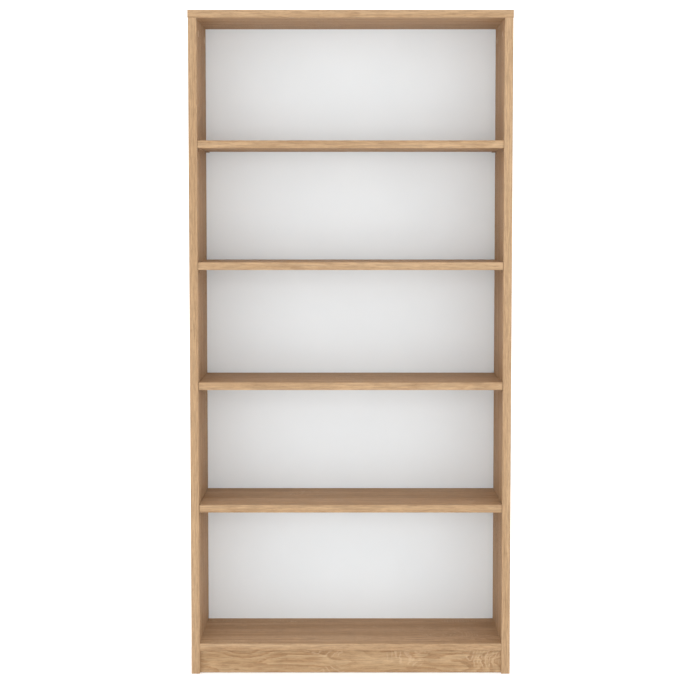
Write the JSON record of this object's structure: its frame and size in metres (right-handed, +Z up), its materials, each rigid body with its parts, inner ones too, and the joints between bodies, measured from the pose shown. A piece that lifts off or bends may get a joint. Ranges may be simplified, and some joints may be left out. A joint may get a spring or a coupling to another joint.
{
  "type": "bookcase with adjustable shelves",
  "caption": "Tall open bookcase with an oak-faced case, a white back and loose shelves resting on pins in rows of drilled holes.",
  "frame": {"origin": "middle of the footprint, on the floor that the side panels stand on", "axes": "+Z up; X across the case; -Y out of the open front, so +Y towards the wall behind it"},
  "size_m": [0.802, 0.28, 1.655],
  "materials": {
    "oak_board": "oak-effect melamine, satin",
    "white_hardboard": "white foil, matt",
    "bronzed_steel": "steel with a bronze-brown plating",
    "zinc_plated_steel": "zinc plated",
    "beech": "bare fluted beech",
    "oak_plastic": "moulded, fine texture"
  },
  "bodies": {
    "carcass": {"left_side_panel": "oak_board", "right_side_panel": "oak_board", "top_panel": "oak_board", "bottom_panel": "oak_board", "plinth": "oak_board", "back_panel": "white_hardboard", "bottom_cam_bolt_front_left": "zinc_plated_steel", "bottom_cam_bolt_front_right": "zinc_plated_steel", "bottom_cam_bolt_rear_left": "zinc_plated_steel", "bottom_cam_bolt_rear_right": "zinc_plated_steel", "bottom_cam_front_left": "zinc_plated_steel", "bottom_cam_front_right": "zinc_plated_steel", "bottom_cam_rear_left": "zinc_plated_steel", "bottom_cam_rear_right": "zinc_plated_steel", "bottom_dowel_front_left": "beech", "bottom_dowel_front_right": "beech", "bottom_dowel_rear_left": "beech", "bottom_dowel_rear_right": "beech", "plinth_dowel_lower_left": "beech", "plinth_dowel_lower_right": "beech", "plinth_dowel_upper_left": "beech", "plinth_dowel_upper_right": "beech", "top_cam_bolt_front_left": "zinc_plated_steel", "top_cam_bolt_front_right": "zinc_plated_steel", "top_cam_bolt_rear_left": "zinc_plated_steel", "top_cam_bolt_rear_right": "zinc_plated_steel", "top_cam_cap_front_left": "oak_plastic", "top_cam_cap_front_right": "oak_plastic", "top_cam_cap_rear_left": "oak_plastic", "top_cam_cap_rear_right": "oak_plastic", "top_cam_front_left": "zinc_plated_steel", "top_cam_front_right": "zinc_plated_steel", "top_cam_rear_left": "zinc_plated_steel", "top_cam_rear_right": "zinc_plated_steel", "top_dowel_front_left": "beech", "top_dowel_front_right": "beech", "top_dowel_rear_left": "beech", "top_dowel_rear_right": "beech"},
    "shelf_1_pins": {"shelf_1_pin_front_left": "bronzed_steel", "shelf_1_pin_front_right": "bronzed_steel", "shelf_1_pin_rear_left": "bronzed_steel", "shelf_1_pin_rear_right": "bronzed_steel"},
    "shelf_1": {"shelf_1": "oak_board"},
    "shelf_2_pins": {"shelf_2_pin_front_left": "bronzed_steel", "shelf_2_pin_front_right": "bronzed_steel", "shelf_2_pin_rear_left": "bronzed_steel", "shelf_2_pin_rear_right": "bronzed_steel"},
    "shelf_2": {"shelf_2": "oak_board"},
    "shelf_3_pins": {"shelf_3_pin_front_left": "bronzed_steel", "shelf_3_pin_front_right": "bronzed_steel", "shelf_3_pin_rear_left": "bronzed_steel", "shelf_3_pin_rear_right": "bronzed_steel"},
    "shelf_3": {"shelf_3": "oak_board"},
    "shelf_4_pins": {"shelf_4_pin_front_left": "bronzed_steel", "shelf_4_pin_front_right": "bronzed_steel", "shelf_4_pin_rear_left": "bronzed_steel", "shelf_4_pin_rear_right": "bronzed_steel"},
    "shelf_4": {"shelf_4": "oak_board"}
  },
  "joints": [
    {"name": "shelf_1_height", "type": "slide", "parent": "carcass", "child": "shelf_1_pins", "axis": [0, 0, 1], "range_m": [-0.096, 0.096]},
    {"name": "shelf_1_pull_out", "type": "slide", "parent": "shelf_1_pins", "child": "shelf_1", "axis": [0, -1, 0], "range_m": [0, 0.3]},
    {"name": "shelf_2_height", "type": "slide", "parent": "carcass", "child": "shelf_2_pins", "axis": [0, 0, 1], "range_m": [-0.096, 0.096]},
    {"name": "shelf_2_pull_out", "type": "slide", "parent": "shelf_2_pins", "child": "shelf_2", "axis": [0, -1, 0], "range_m": [0, 0.3]},
    {"name": "shelf_3_height", "type": "slide", "parent": "carcass", "child": "shelf_3_pins", "axis": [0, 0, 1], "range_m": [-0.096, 0.096]},
    {"name": "shelf_3_pull_out", "type": "slide", "parent": "shelf_3_pins", "child": "shelf_3", "axis": [0, -1, 0], "range_m": [0, 0.3]},
    {"name": "shelf_4_height", "type": "slide", "parent": "carcass", "child": "shelf_4_pins", "axis": [0, 0, 1], "range_m": [-0.096, 0.096]},
    {"name": "shelf_4_pull_out", "type": "slide", "parent": "shelf_4_pins", "child": "shelf_4", "axis": [0, -1, 0], "range_m": [0, 0.3]}
  ]
}
